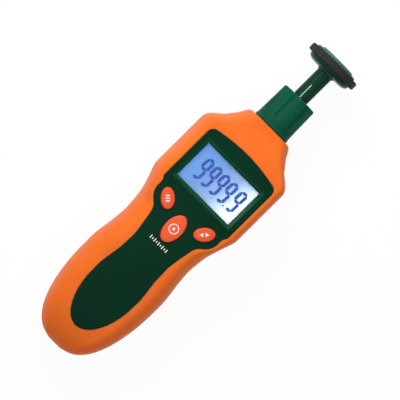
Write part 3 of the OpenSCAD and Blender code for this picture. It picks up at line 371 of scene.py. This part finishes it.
finish = {
    # The third colour of each moulded plastic is its paler edges: partly wear, partly a painted highlight
    "shell": mouldedPlastic("orange moulded ABS", "#eb6e11", "#e4640b", "#ee8a4c", roughness=0.55,
                            grainMm=0.45, grainLift=0.014, roundMm=0.3, shine=0.26),
    "panel": mouldedPlastic("dark green moulded ABS", "#01301d", "#01291a", "#2f7a5e", roughness=0.36,
                            grainMm=0.5, grainLift=0.008, roundMm=0.35, shine=0.03),
    # the display's sloped frame: a little glossier than the panel, and lighter green as a painted highlight
    "frame": mouldedPlastic("green ABS lightened as painted highlight", "#064530", "#053d2a", "#4f9f82", roughness=0.3,
                            grainMm=0.5, grainLift=0.004, roundMm=0.3, shine=0.06),
    "button": mouldedPlastic("orange-red moulded ABS", "#e5501a", "#df4715", "#f9a080", roughness=0.4,
                             grainMm=0.4, grainLift=0.01, roundMm=0.5, shine=0.3),
    "adapter": mouldedPlastic("green moulded ABS", "#0a5640", "#084936", "#2b8569", roughness=0.42,
                              grainMm=0.5, grainLift=0.01, roundMm=0.35, shine=0.04),
    "wheel": mouldedPlastic("deep green moulded ABS", "#043a28", "#032f20", "#8cc4b0", roughness=0.3,
                            grainMm=0.5, grainLift=0.008, roundMm=0.22, shine=0.06, sheen=0.3),
    "cover": mouldedPlastic("matt green moulded ABS", "#2c6351", "#265746", "#a4cdbe", roughness=0.45,
                            grainMm=0.4, grainLift=0.014, roundMm=0.4, shine=0.2, sheen=0.3),
    "white": mouldedPlastic("white moulded nylon", "#e9e9e4", "#dfdfd8", "#f6f6f2", grainMm=0.4,
                            grainLift=0.01, roundMm=0.2),
    "black": mouldedPlastic("black moulded ABS", "#1b1c1d", "#161718", "#3a3b3d", roughness=0.42,
                            grainMm=0.4, roundMm=0.2),
    "chip": mouldedPlastic("black moulded epoxy", "#232426", "#1c1d1f", "#3c3d3f", roughness=0.55,
                           grainMm=0.25, roundMm=0.12),
    "keyMat": mouldedPlastic("grey moulded silicone rubber", "#8a8d8c", "#7d807f", "#a3a6a5", roughness=0.6,
                             grainMm=0.4, grainLift=0.01),
    "strip": mouldedPlastic("black and pink layered silicone", "#3a3436", "#2c2829", "#6d5a5f",
                            roughness=0.6, grainLift=0.01),
    "ring": mouldedPlastic("black nitrile rubber", "#202021", "#19191a", "#3b3b3d", roughness=0.5,
                           grainLift=0.01, roundMm=0.1),
    "wire": mouldedPlastic("red vinyl wire cover", "#a3201c", "#8c1815", "#c65a50", grainMm=0.5,
                           grainLift=0.008, roundMm=0.1),
    "disc": mouldedPlastic("white moulded acetal", "#f0f0ee", "#e6e6e3", "#fafafa", roughness=0.35,
                           grainMm=0.4, grainLift=0.008, roundMm=0.15),
    # The pane's IOR is lower than bare acrylic's, for its anti-glare coat: the display stays readable
    "pane": clearPlastic("clear acrylic pane", "#fdfeff", roughness=0.02, ior=1.2, shine=0.1),
    "lens": clearPlastic("clear polycarbonate", "#f2f6ff", roughness=0.04, ior=1.58),
    "display": displayGlass(),
    "digits": printedInk("dark liquid crystal segments", "#0a42a2", roughness=0.5, worn="#123f9e"),
    "print": printedInk("white pad-printed ink", "#e9efe9"),
    "board": circuitBoard(),
    "battery": batteryJacket(),
    "tyre": tyreRubber(),
    "screw": turnedSteel("zinc-plated screw steel", "#b3b6b2", roughness=0.3),
    "bearing": turnedSteel("ground bearing steel", "#c6c8cb", roughness=0.16, lineMm=0.2, lift=0.002),
    "spindle": turnedSteel("turned spindle steel", "#c9cccf", roughness=0.2),
    # the pale strip in the wheel's slit is a painted highlight
    "paintedSlitHighlight": turnedSteel("pale steel as painted slit highlight", "#dfe6e4", roughness=0.5),
    "brass": turnedSteel("turned brass", "#c8a24c", roughness=0.28),
}

# Each part of the CAD model that keeps its own shape, and the finish that it gets
nodeFinish = {
    "display_window": "pane", "lcd_glass": "display", "lcd_holder": "white", "contact_strips": "strip",
    "main_board": "board", "board_parts": "chip", "key_mat": "keyMat", "optics_holder": "black",
    "laser_module": "brass", "photo_sensor": "lens", "nose_socket": "black", "nose_lens": "lens",
    "battery": "battery", "battery_snap": "black", "battery_leads": "wire", "case_screws": "screw",
    "board_screws": "screw", "adapter_body": "adapter", "adapter_cap": "adapter", "spigot_ring": "ring",
    "outer_races": "bearing", "bearing_balls": "bearing", "spindle": "spindle", "inner_races": "bearing",
    "bearing_spacer": "spindle", "spindle_clip": "spindle", "reflector_disc": "disc", "wheel_hub": "wheel",
    "wheel_cover": "cover", "wheel_tyre": "tyre", "measure_button": "button", "memory_button": "button",
    "mode_button": "button", "front_case": "shell", "rear_case": "shell", "battery_door": "shell",
    "face_panel": "panel",
}
for nodeName, finishName in nodeFinish.items():
    for materialSlot in nodes[nodeName].material_slots:
        materialSlot.link = "OBJECT"
        materialSlot.material = finish[finishName]


print("stage: housing shapes")
body = {
    "bodyL": 160, "headW": 59.1, "bodyH": 40.5, "gripW": 51.4, "gripFall": 6.5,
    "splitZ": 18,                             # height of the line where the two shells meet
    "axisZ": 21.5,                            # height of the spindle's axis
    "tailRoundL": 47, "tailPower": 2.8, "tailBlunt": 0.2, "tipFlat": 0.02,
    "domeL": 24, "rollPower": 2.4,            # how the face and sides roll over into one another
    "noseRound": 0.9, "noseHalfH": 13.1, "noseStart": 141,
    "faceStartShare": 0.475, "blendShare": 0.28,
    "panelProud": 0.2, "windowT": 120, "frameHalf": (21, 13.7),
}
# Half the body's width as a share of half the head's, along the body
sideShares = [
    (0.336, 0.866), (0.376, 0.847), (0.415, 0.816), (0.45, 0.797), (0.478, 0.788), (0.506, 0.799),
    (0.547, 0.823), (0.581, 0.864), (0.612, 0.921), (0.644, 0.982), (0.655, 0.998), (0.669, 1), (0.7, 1),
    (0.78, 1), (0.856, 1), (0.876, 0.998), (0.886, 0.979), (0.9025, 0.907), (0.9156, 0.826),
    (0.9288, 0.741), (0.942, 0.688), (0.955, 0.633), (0.968, 0.582), (0.985, 0.531), (0.9944, 0.497),
    (1, 0.46)]
# How much of that width is level on the face and on the back, before the roll to the side begins
levelShares = [(0, 0.6), (0.49, 0.6), (0.54, 0.67), (0.578, 0.84), (0.6, 0.86), (0.65, 0.83), (0.881, 0.83),
               (1, 0.5)]
backShares = [(0, 0.76), (0.881, 0.76), (1, 0.5)]
tailAngles = [0, 8, 14, 21, 29, 37, 46, 56, 67, 78, 90]


def smoothCurve(points):
    # A curve through the points that never swings past them
    x = np.array([p[0] for p in points], float)
    y = np.array([p[1] for p in points], float)
    step, rise = np.diff(x), np.diff(y)
    slope = rise / step
    way = np.zeros(len(x))
    way[0], way[-1] = slope[0], slope[-1]
    for i in range(1, len(x) - 1):
        if slope[i - 1] * slope[i] > 0:
            w0, w1 = 2 * step[i] + step[i - 1], step[i] + 2 * step[i - 1]
            way[i] = (w0 + w1) / (w0 / slope[i - 1] + w1 / slope[i])

    def at(t):
        t = np.clip(t, x[0], x[-1])
        i = np.clip(np.searchsorted(x, t) - 1, 0, len(x) - 2)
        h = step[i]
        s = (t - x[i]) / h
        return ((1 + 2 * s) * (1 - s) ** 2 * y[i] + s * (1 - s) ** 2 * h * way[i]
                + s * s * (3 - 2 * s) * y[i + 1] + s * s * (s - 1) * h * way[i + 1])
    return at


def ease(s):
    c = np.clip(s, 0, 1)
    return c * c * (3 - 2 * c)


def closing(t, length, power):
    # A round end: 0 at the tip and 1 from this length on
    left = np.clip(1 - np.maximum(t, body["tailBlunt"]) / length, 0, 1)
    return (1 - left ** 2) ** (1 / power)


def makeForm():
    gripR, headR, long = body["gripW"] / 2, body["headW"] / 2, body["bodyL"]
    excess = gripR - sideShares[0][1] * headR
    tailPlaces = [body["tailRoundL"] * (1 - math.cos(math.radians(a))) for a in tailAngles]
    tail = [(t, float(gripR * closing(t, body["tailRoundL"], body["tailPower"]))) for t in tailPlaces]
    fore = [(s * long, w * headR + excess * max(0, 1 - (s - sideShares[0][0]) / body["blendShare"]))
            for s, w in sideShares]
    return smoothCurve(tail + fore)


halfWidth = makeForm()
levelShare, backShare = smoothCurve(levelShares), smoothCurve(backShares)


def noseEdge(t):
    # The small round at the rim of the nose
    into = np.maximum(0, (t - body["bodyL"] + body["noseRound"]) / body["noseRound"])
    return body["noseRound"] * into ** 2


def faceHeight(t):
    grip = body["bodyH"] - body["gripFall"] * ease(1 - t / (body["faceStartShare"] * body["bodyL"]))
    near = body["splitZ"] + (grip - body["splitZ"]) * closing(t, body["domeL"], body["rollPower"])
    run = body["bodyL"] - body["noseStart"]
    down = ease((t - body["noseStart"]) / run)
    far = body["bodyH"] + (body["axisZ"] + body["noseHalfH"] - body["bodyH"]) * down - noseEdge(t)
    return np.where(t < body["noseStart"], near, far)


def backHeight(t):
    near = body["splitZ"] * (1 - closing(t, body["domeL"], body["rollPower"]))
    run = body["bodyL"] - body["noseStart"]
    far = (body["axisZ"] - body["noseHalfH"]) * ease((t - body["noseStart"]) / run) + noseEdge(t)
    return np.where(t < body["noseStart"], near, far)


def formTerms(points, upper):
    # Where points lie between the level middle, the side, the split line and the top or the back
    t = points[:, 1] - tailY
    side = halfWidth(t)
    share = levelShare(t / body["bodyL"]) if upper else backShare(t / body["bodyL"])
    level = side * share
    top = faceHeight(t) if upper else backHeight(t)
    out = np.maximum(0, np.abs(points[:, 0]) - level) / np.maximum(side - level, 0.01)
    rise = (points[:, 2] - body["splitZ"]) / (top - body["splitZ"])
    return level, side, top, out, np.maximum(rise, 0)


def formValue(points, upper):
    # 0 on the smooth form, negative inside it
    _, _, _, out, rise = formTerms(points, upper)
    power = body["rollPower"]
    return (out ** power + rise ** power) ** (1 / power) - 1


shell = {
    "edge": 1.3, "passes": 4,                 # the skin's edges are halved this often, down to this length
    "skinDepth": 0.5, "skinFacing": 0.75,     # how near to the form, and how square to it, a skin face is
    "slopeReach": 0.04, "sharpDegrees": 28,
    "groove": 0.3, "rimNear": 0.02,
    "weld": 0.002,
}


def formNormal(points, upper):
    reach, slopes = shell["slopeReach"], []
    points = points.copy()       # the small flat at the tail's tip is shaded as the round end that it closes
    points[:, 1] = np.maximum(points[:, 1], tailY + body["tailBlunt"] + 3 * reach)
    for axis in range(3):
        shift = np.zeros(3)
        shift[axis] = reach
        slopes.append((formValue(points + shift, upper) - formValue(points - shift, upper)) / (2 * reach))
    normals = np.stack(slopes, 1)
    size = np.linalg.norm(normals, axis=1, keepdims=True)
    return normals / np.maximum(size, 1e-9), size[:, 0]


def ontoForm(points, upper):
    # Points moved out to the smooth form, except on the small flat at the tail's tip
    level, side, top, out, rise = formTerms(points, upper)
    power = body["rollPower"]
    grow = 1 / np.maximum((out ** power + rise ** power) ** (1 / power), 1e-6)
    moved = points.copy()
    across = np.sign(points[:, 0]) * (level + (side - level) * out * grow)
    moved[:, 0] = np.where(np.abs(points[:, 0]) > level, across, points[:, 0])
    moved[:, 2] = body["splitZ"] + (top - body["splitZ"]) * rise * grow
    flat = points[:, 1] < tailY + body["tipFlat"]
    moved[flat] = points[flat]
    return moved


def copyOfNode(name):
    shape = bmesh.new()
    shape.from_mesh(nodes[name].data)
    bmesh.ops.remove_doubles(shape, verts=shape.verts, dist=mm(shell["weld"]))
    bmesh.ops.triangulate(shape, faces=shape.faces)
    return shape


def onlyTriangles(shape):
    bmesh.ops.triangulate(shape, faces=[f for f in shape.faces if len(f.verts) > 3])


def halveLong(shape, faces, longest):
    # Halves the long edges of these faces, in the mesh's own order, and says how many there were
    shape.edges.index_update()
    shape.edges.ensure_lookup_table()
    found = sorted({e.index for f in faces for e in f.edges if e.calc_length() > mm(longest)})
    if found:
        bmesh.ops.subdivide_edges(shape, edges=[shape.edges[i] for i in found], cuts=1)
        onlyTriangles(shape)
    return len(found)


def skinFaces(shape, upper):
    # Tells which faces of a shell are its outside skin
    faces = list(shape.faces)
    centres = np.array([f.calc_center_median() for f in faces]) * 1000
    ways = np.array([f.normal for f in faces])
    normals, steep = formNormal(centres, upper)
    away = np.abs(formValue(centres, upper)) / np.maximum(steep, 1e-6)
    square = (normals * ways).sum(1)
    return [f for f, a, d in zip(faces, away, square) if a < shell["skinDepth"] and d > shell["skinFacing"]]


def cornerNormals(mesh):
    normals = np.zeros(len(mesh.loops) * 3, np.float32)
    mesh.corner_normals.foreach_get("vector", normals)
    return normals.reshape(-1, 3)


def meshObject(name, mesh, bodyName, finishName, slotName, *replaced):
    obj = bpy.data.objects.new(name, mesh)
    bpy.context.scene.collection.objects.link(obj)
    mesh.materials.clear()
    mesh.materials.append(finish[finishName])
    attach(obj, bodyName)
    if replaced:
        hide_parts(*replaced)
    return obj


def sinkRim(shape, upper, skin):
    # Draws the rim at the split line in, so that the shells meet in a fine groove. Returns the other faces
    split = mm(body["splitZ"])
    rim = {v for f in skin for v in f.verts if abs(v.co.z - split) < mm(shell["rimNear"])}
    kept = [f for f in skin if not any(v in rim for v in f.verts)]
    places = np.array([v.co for v in rim]) * 1000
    for vert, place, way in zip(rim, places, formNormal(places, upper)[0]):
        vert.co = (place - way * shell["groove"]) / 1000
    return kept


def smoothShell(nodeName, pieceName, bodyName, upper, hasRim=True):
    # A copy of a shell whose outside skin is drawn onto the smooth form that its flat facets follow
    shape = copyOfNode(nodeName)
    for _ in range(shell["passes"]):
        if not halveLong(shape, skinFaces(shape, upper), shell["edge"]):
            break
    if hasRim:
        side = 1 if upper else -1
        bmesh.ops.bisect_plane(shape, geom=shape.verts[:] + shape.edges[:] + shape.faces[:],
                               plane_co=mm(0, 0, body["splitZ"] + side * shell["groove"]),
                               plane_no=(0, 0, 1), dist=mm(shell["weld"]))
        onlyTriangles(shape)
    verts = list({v for f in skinFaces(shape, upper) for v in f.verts})
    places = np.array([v.co for v in verts]) * 1000
    for vert, place in zip(verts, ontoForm(places, upper)):
        vert.co = place / 1000
    shape.faces.index_update()
    skin = skinFaces(shape, upper)
    if hasRim:
        skin = sinkRim(shape, upper, skin)
    skinIndices = [f.index for f in skin]
    mesh = bpy.data.meshes.new(pieceName)
    shape.to_mesh(mesh)
    shape.free()
    mesh.polygons.foreach_set("use_smooth", [True] * len(mesh.polygons))
    mesh.set_sharp_from_angle(angle=math.radians(shell["sharpDegrees"]))
    mesh.update()
    normals = cornerNormals(mesh)
    if not hasRim:               # the door's inside has flat faces
        for face in mesh.polygons:
            normals[list(face.loop_indices)] = face.normal
    coords = np.array([v.co for v in mesh.vertices]) * 1000
    corners = np.array([c.vertex_index for c in mesh.loops])
    loops = np.array([list(mesh.polygons[i].loop_indices) for i in skinIndices]).ravel()
    normals[loops] = formNormal(coords[corners[loops]], upper)[0]
    mesh.normals_split_custom_set(normals.tolist())
    return meshObject(pieceName, mesh, bodyName, "shell", "orange_shell", nodeName)


smoothShell("front_case", "frontShell", "meter", True)
smoothShell("rear_case", "rearShell", "meter", False)
smoothShell("battery_door", "batteryDoorSkin", "door", False, hasRim=False)


panel = {
    "edge": 2.5, "passes": 4, "topDepth": 0.3, "topFacing": 0.85,
    "sharpDegrees": 25, "slopeReach": 0.2,
    "frameFacing": 0.9,                       # faces of the display's frame that slope more get a glossier, lighter green: a painted highlight
}


def panelTop(t):
    return float(faceHeight(np.array([t]))[0]) + body["panelProud"]


def smoothPanel():
    # The face panel, with its top drawn smoothly along the fall of the grip
    shape = copyOfNode("face_panel")

    def topFaces():
        found = []
        for face in shape.faces:
            centre = face.calc_center_median() * 1000
            away = abs(centre.z - panelTop(centre.y - tailY))
            if face.normal.z > panel["topFacing"] and away < panel["topDepth"]:
                found.append(face)
        return found
    for _ in range(panel["passes"]):
        if not halveLong(shape, topFaces(), panel["edge"]):
            break
    tops = topFaces()
    for vert in {v for f in tops for v in f.verts}:
        vert.co.z = mm(panelTop(vert.co.y * 1000 - tailY))
    shape.faces.index_update()
    topIndices = [f.index for f in tops]
    mesh = bpy.data.meshes.new("facePanelSkin")
    shape.to_mesh(mesh)
    shape.free()
    mesh.polygons.foreach_set("use_smooth", [True] * len(mesh.polygons))
    mesh.set_sharp_from_angle(angle=math.radians(panel["sharpDegrees"]))
    mesh.update()
    normals = cornerNormals(mesh)
    reach = panel["slopeReach"]
    for index in topIndices:
        for loop in mesh.polygons[index].loop_indices:
            t = mesh.vertices[mesh.loops[loop].vertex_index].co.y * 1000 - tailY
            rise = (panelTop(t + reach) - panelTop(t - reach)) / (2 * reach)
            normals[loop] = Vector((0, -rise, 1)).normalized()
    mesh.normals_split_custom_set(normals.tolist())
    piece = meshObject("facePanelSkin", mesh, "meter", "panel", "green_panel", "face_panel")
    mesh.materials.append(finish["frame"])
    halfX, halfY = body["frameHalf"]
    for face in mesh.polygons:          # the sloped frame round the display is glossier, and lighter green as a painted highlight
        place = face.center * 1000 - Vector((0, tailY + body["windowT"], 0))
        if abs(place.x) < halfX and abs(place.y) < halfY and face.normal.z < panel["frameFacing"]:
            face.material_index = 1
    return piece


smoothPanel()


# A pale strip in the slit of the wheel's sleeve, standing for the light along the slit: a painted highlight
paintedSlitHighlight = {
    "halfWidth": 0.12, "turn": -15,           # degrees round the sleeve from straight up
    "from": 22.7, "to": 31.1,                 # ahead of the nose
    "inner": 3.4, "outer": 4.58,              # from the spindle's axis
}


def makeSlitHighlightStrip():
    # A thin pale strip in the slit of the wheel's sleeve: a painted highlight that shows as a bright line
    box = bmesh.new()
    bmesh.ops.create_cube(box, size=1)
    spin = Matrix.Rotation(math.radians(paintedSlitHighlight["turn"]), 3, "Y")
    noseY = tailY + body["bodyL"]
    for vert in box.verts:
        x, y, z = vert.co
        outward = paintedSlitHighlight["inner"] + (z + 0.5) * (paintedSlitHighlight["outer"] - paintedSlitHighlight["inner"])
        place = spin @ Vector((2 * x * paintedSlitHighlight["halfWidth"], 0, outward))
        along = noseY + paintedSlitHighlight["from"] + (y + 0.5) * (paintedSlitHighlight["to"] - paintedSlitHighlight["from"])
        vert.co = mm(place.x, along, body["axisZ"] + place.z)
    mesh = bpy.data.meshes.new("slitLeaf")
    box.to_mesh(mesh)
    box.free()
    return meshObject("slitLeaf", mesh, "wheel", "paintedSlitHighlight", "spindle_steel")


makeSlitHighlightStrip()


print("stage: display and print")
display = {
    "text": "9999.9", "slant": 0.6,
    "middle": 120, "foot": -6.8, "left": -13.7,           # places from the tail, from there and across
    "height": 13.7, "width": 5.1, "pitch": 5.93, "lastPitch": 6.7,
    "stroke": 1.7, "gap": 0.05, "dot": 0.95, "dotGap": 0.3, "dotStep": 30,
    "lift": 0.01, "thick": 0.03,
}
segmentsOf = {"9": "abcdfg"}              # the strokes of each digit, lettered a to g from the top round


def segmentOutline(name):
    w, h, s, g = display["width"], display["height"], display["stroke"], display["gap"]
    m = h / 2
    if name in "adg":
        y = {"a": h - s / 2, "d": s / 2, "g": m}[name]
        return [(s / 2 + g, y), (s + g, y + s / 2), (w - s - g, y + s / 2), (w - s / 2 - g, y),
                (w - s - g, y - s / 2), (s + g, y - s / 2)]
    x = s / 2 if name in "ef" else w - s / 2
    low, high = (s / 2, m) if name in "ec" else (m, h - s / 2)
    return [(x, low + g), (x + s / 2, low + s / 2 + g), (x + s / 2, high - s / 2 - g), (x, high - g),
            (x - s / 2, high - s / 2 - g), (x - s / 2, low + s / 2 + g)]


def plateMesh(name, outlines, level, thick):
    # Thin plates at one level, one for each outline of points across and from the tail
    verts, faces = [], []
    for outline in outlines:
        start, count = len(verts), len(outline)
        for lift in (0, thick):
            for x, t in outline:
                verts.append(mm(x, t + tailY, level + lift))
        faces.append(tuple(range(start + count, start + 2 * count)))
        faces.append(tuple(range(start + count - 1, start - 1, -1)))
        for i in range(count):
            j = (i + 1) % count
            faces.append((start + i, start + j, start + count + j, start + count + i))
    mesh = bpy.data.meshes.new(name)
    mesh.from_pydata([tuple(v) for v in verts], [], faces)
    mesh.update()
    return mesh


def makeDigits():
    outlines, left = [], display["left"]
    foot = display["middle"] + display["foot"]
    signs = display["text"].replace(".", "")
    for place, sign in enumerate(signs):
        for name in segmentsOf[sign]:
            outlines.append([(left + x + display["slant"] * y / display["height"], foot + y)
                             for x, y in segmentOutline(name)])
        beforePoint = place == display["text"].index(".") - 1
        if beforePoint:
            radius = display["dot"] / 2
            centre = left + display["width"] + display["dotGap"] + radius
            turns = [math.radians(k) for k in range(0, 360, display["dotStep"])]
            outlines.append([(centre + radius * math.cos(a), foot + radius + radius * math.sin(a))
                             for a in turns])
        left += display["lastPitch"] if beforePoint else display["pitch"]
    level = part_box("lcd_glass")[1].z * 1000 + display["lift"]
    mesh = plateMesh("displayDigits", outlines, level, display["thick"])
    return meshObject("displayDigits", mesh, "meter", "digits", "display_glass")


makeDigits()

printed = {
    "sink": 0.03, "rise": 0.02,               # how far the ink goes into the plastic and stands proud of it
    "step": 0.5, "passes": 2, "around": 32, "weld": 0.001,
    "bar": (0.65, 2.2), "barPitch": 1.45,
    "arrowFrom": 0.6, "arrowLong": 2.0, "arrowWide": 2.3,
    "ring": (2.3, 2.8), "dot": (0.02, 0.75),
    "shortTick": (0.5, 1.1), "longTick": (0.5, 2.0), "tickPitch": 1.4, "ticksEachSide": 4,
    "ticksFromTail": 75.8,
}


def bar(x, size):
    w, h = size[0] / 2, size[1] / 2
    return [[(x - w, -h), (x + w, -h), (x + w, h), (x - w, h)]]


def ring(inner, outer):
    turns = [2 * math.pi * k / printed["around"] for k in range(printed["around"] + 1)]
    spots = [(math.cos(a), math.sin(a)) for a in turns]
    return [[(inner * c, inner * d), (outer * c, outer * d), (outer * e, outer * f), (inner * e, inner * f)]
            for (c, d), (e, f) in zip(spots, spots[1:])]


def arrow(side):
    foot, half = side * printed["arrowFrom"], side * printed["arrowWide"] / 2
    return [[(foot, -half), (foot + side * printed["arrowLong"], 0), (foot, half)]]


def ticks():
    reach = printed["ticksEachSide"]
    return [bar(k * printed["tickPitch"], printed["shortTick" if k % 2 else "longTick"])
            for k in range(-reach, reach + 1)]


# Plain white marks: three bars, two arrows, a ring round a dot, and a short row of scale ticks
keyMarks = {
    "memoryMark": {"below": "memory_button", "body": "memory_key", "slot": "orange_button", "turn": -45,
                   "shapes": [bar(k * printed["barPitch"], printed["bar"]) for k in (-1, 0, 1)]},
    "modeMark": {"below": "mode_button", "body": "mode_key", "slot": "orange_button", "turn": 45,
                 "shapes": [arrow(-1), arrow(1)]},
    "measureMark": {"below": "measure_button", "body": "measure_key", "slot": "orange_button", "turn": 0,
                    "shapes": [ring(*printed["ring"]), ring(*printed["dot"])]},
    "panelTicks": {"below": "facePanelSkin", "body": "meter", "slot": "green_panel", "turn": 0,
                   "fromTail": printed["ticksFromTail"], "shapes": ticks()},
}


def makeMark(name, mark):
    # A printed mark, laid on whatever lies straight below it
    flat = bmesh.new()
    for outline in [o for shape in mark["shapes"] for o in shape]:
        flat.faces.new([flat.verts.new(mm(x, y, 0)) for x, y in outline])
    bmesh.ops.remove_doubles(flat, verts=flat.verts, dist=mm(printed["weld"]))
    for _ in range(printed["passes"]):
        halveLong(flat, flat.faces, printed["step"])
    onlyTriangles(flat)
    below = nodes.get(mark["below"]) or bpy.data.objects[mark["below"]]
    ground = bmesh.new()
    ground.from_mesh(below.data)
    tree = BVHTree.FromBMesh(ground)
    if "fromTail" in mark:
        centre = mm(0, tailY + mark["fromTail"], 0)
    else:
        low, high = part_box(mark["below"])
        centre = (low + high) / 2
    spin = Matrix.Rotation(math.radians(mark["turn"]), 3, "Z")
    top = cadBox[1][2] * 2       # well above the part
    for vert in flat.verts:
        place = centre + spin @ vert.co
        hit = tree.ray_cast(Vector((place.x, place.y, top)), Vector((0, 0, -1)))[0]
        vert.co = (place.x, place.y, hit.z - mm(printed["sink"]))
    raised = bmesh.ops.extrude_face_region(flat, geom=flat.faces[:])["geom"]
    for vert in [v for v in raised if isinstance(v, bmesh.types.BMVert)]:
        vert.co.z += mm(printed["sink"] + printed["rise"])
    bmesh.ops.recalc_face_normals(flat, faces=flat.faces)
    mesh = bpy.data.meshes.new(name)
    flat.to_mesh(mesh)
    flat.free()
    ground.free()
    return meshObject(name, mesh, mark["body"], "print", mark["slot"])


for name, mark in keyMarks.items():
    makeMark(name, mark)
